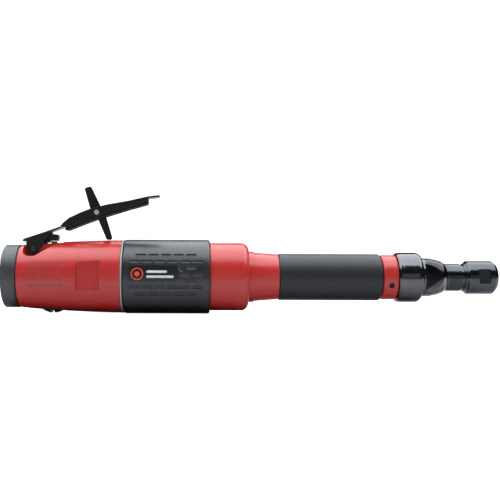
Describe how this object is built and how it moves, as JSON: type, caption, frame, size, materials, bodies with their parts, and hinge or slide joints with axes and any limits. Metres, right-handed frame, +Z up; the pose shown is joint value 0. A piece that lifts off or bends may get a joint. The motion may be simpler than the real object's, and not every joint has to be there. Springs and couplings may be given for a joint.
{
  "type": "die grinder",
  "caption": "Long pneumatic die grinder: red body, rubber sleeve, foam neck, lever throttle with safety latch, collet nut.",
  "frame": {"origin": "centre of the air inlet's mouth, on the spindle axis", "axes": "+X along the spindle axis towards the collet, +Z up on the lever's side, +Y across"},
  "size_m": [0.3419, 0.0506, 0.0868],
  "materials": {
    "black_steel": "satin black coated steel",
    "red_shell": "satin red anodised",
    "dark_plastic": "fine textured charcoal",
    "dark_rubber": "matte moulded rubber",
    "foam": "matte closed cell foam",
    "pale_ring": "matte pale",
    "badge": "gloss black",
    "blackened": "turned and blackened",
    "bright_steel": "ground",
    "brass": "turned",
    "spring_steel": "drawn wire",
    "alloy": "machined",
    "cast": "machined",
    "vane": "fibre laminate",
    "felt": "pressed felt",
    "seal_rubber": "moulded",
    "cage": "moulded polyamide",
    "rivet_steel": "plated"
  },
  "bodies": {
    "housing": {"motor_housing": "red_shell", "inlet_bushing": "blackened", "inlet_screen": "brass", "housing_gasket": "seal_rubber", "lever_pivot_pin": "blackened", "valve_bushing": "brass", "valve_seat": "seal_rubber", "valve_spring": "spring_steel", "valve_plug": "black_steel", "plug_oring": "seal_rubber", "grip_sleeve": "dark_rubber", "side_badge": "badge", "accent_ring": "pale_ring", "rear_end_plate": "cast", "cylinder_liner": "cast", "front_end_plate": "cast", "dowel_pin": "bright_steel", "motor_bearing_outer": "bright_steel", "clamp_washer": "spring_steel", "spindle_housing": "red_shell", "ring_set_screw": "black_steel", "foam_grip": "foam", "spindle_bearing_outer": "bright_steel", "bearing_spacer_outer": "alloy", "wave_washer": "spring_steel", "retaining_ring": "spring_steel", "bearing_cap": "blackened", "felt_seal": "felt"},
    "deflector": {"exhaust_deflector": "dark_plastic", "muffler_ring": "felt"},
    "lever": {"throttle_lever": "black_steel", "lever_stiffener": "black_steel", "lever_pad": "black_steel", "latch_rivet": "rivet_steel", "latch_spring": "spring_steel"},
    "latch": {"safety_latch": "black_steel"},
    "valve": {"valve_stem": "brass"},
    "drive_line": {"rotor": "bright_steel", "rotor_vanes": "vane", "motor_bearing_inner": "bright_steel", "drive_coupling": "bright_steel", "bearing_lock_nut": "blackened", "spindle_bearing_inner": "bright_steel", "spacer_sleeve": "bright_steel", "bearing_spacer_inner": "bright_steel", "spindle": "blackened"},
    "motor_balls": {"motor_bearing_balls": "bright_steel", "motor_bearing_cages": "cage"},
    "spindle_balls": {"spindle_bearing_balls": "bright_steel", "spindle_bearing_cages": "cage"},
    "collet_body": {"collet": "bright_steel"},
    "nut_body": {"collet_nut": "blackened"}
  },
  "joints": [
    {"name": "exhaust_swivel", "type": "hinge", "parent": "housing", "child": "deflector", "pos_m": [0.0115, 0, 0], "axis": [1, 0, 0], "continuous": true},
    {"name": "lever_press", "type": "hinge", "parent": "housing", "child": "lever", "pos_m": [0.0268, 0, 0.0187], "axis": [0, 1, 0], "range_deg": [0, 12], "stiffness_Nm_per_rad": 1, "springref_deg": -8.59},
    {"name": "latch_fold", "type": "hinge", "parent": "lever", "child": "latch", "pos_m": [0.0696, 0, 0.0436], "axis": [0, -1, 0], "range_deg": [0, 66.5], "stiffness_Nm_per_rad": 0.004, "springref_deg": -28.65},
    {"name": "valve_press", "type": "slide", "parent": "housing", "child": "valve", "axis": [0, 0, -1], "range_m": [0, 0.0035], "deforming": ["valve_spring"]},
    {"name": "spindle_spin", "type": "hinge", "parent": "housing", "child": "drive_line", "pos_m": [0.15, 0, 0], "axis": [1, 0, 0], "continuous": true},
    {"name": "motor_balls_roll", "type": "hinge", "parent": "housing", "child": "motor_balls", "pos_m": [0.085, 0, 0], "axis": [1, 0, 0], "continuous": true},
    {"name": "spindle_balls_roll", "type": "hinge", "parent": "housing", "child": "spindle_balls", "pos_m": [0.215, 0, 0], "axis": [1, 0, 0], "continuous": true},
    {"name": "collet_draw", "type": "slide", "parent": "drive_line", "child": "collet_body", "axis": [1, 0, 0], "range_m": [0, 0.002]},
    {"name": "nut_turn", "type": "hinge", "parent": "collet_body", "child": "nut_body", "pos_m": [0.331, 0, 0], "axis": [1, 0, 0], "range_deg": [0, 720]}
  ],
  "couplings": [
    {"joint": "latch_fold", "follows": "lever_press", "ratio": 5.5},
    {"joint": "valve_press", "follows": "lever_press", "m_per_rad": 0.016},
    {"joint": "motor_balls_roll", "follows": "spindle_spin", "ratio": 0.3926},
    {"joint": "spindle_balls_roll", "follows": "spindle_spin", "ratio": 0.4111},
    {"joint": "nut_turn", "follows": "collet_draw", "rad_per_m": 6283.2}
  ]
}
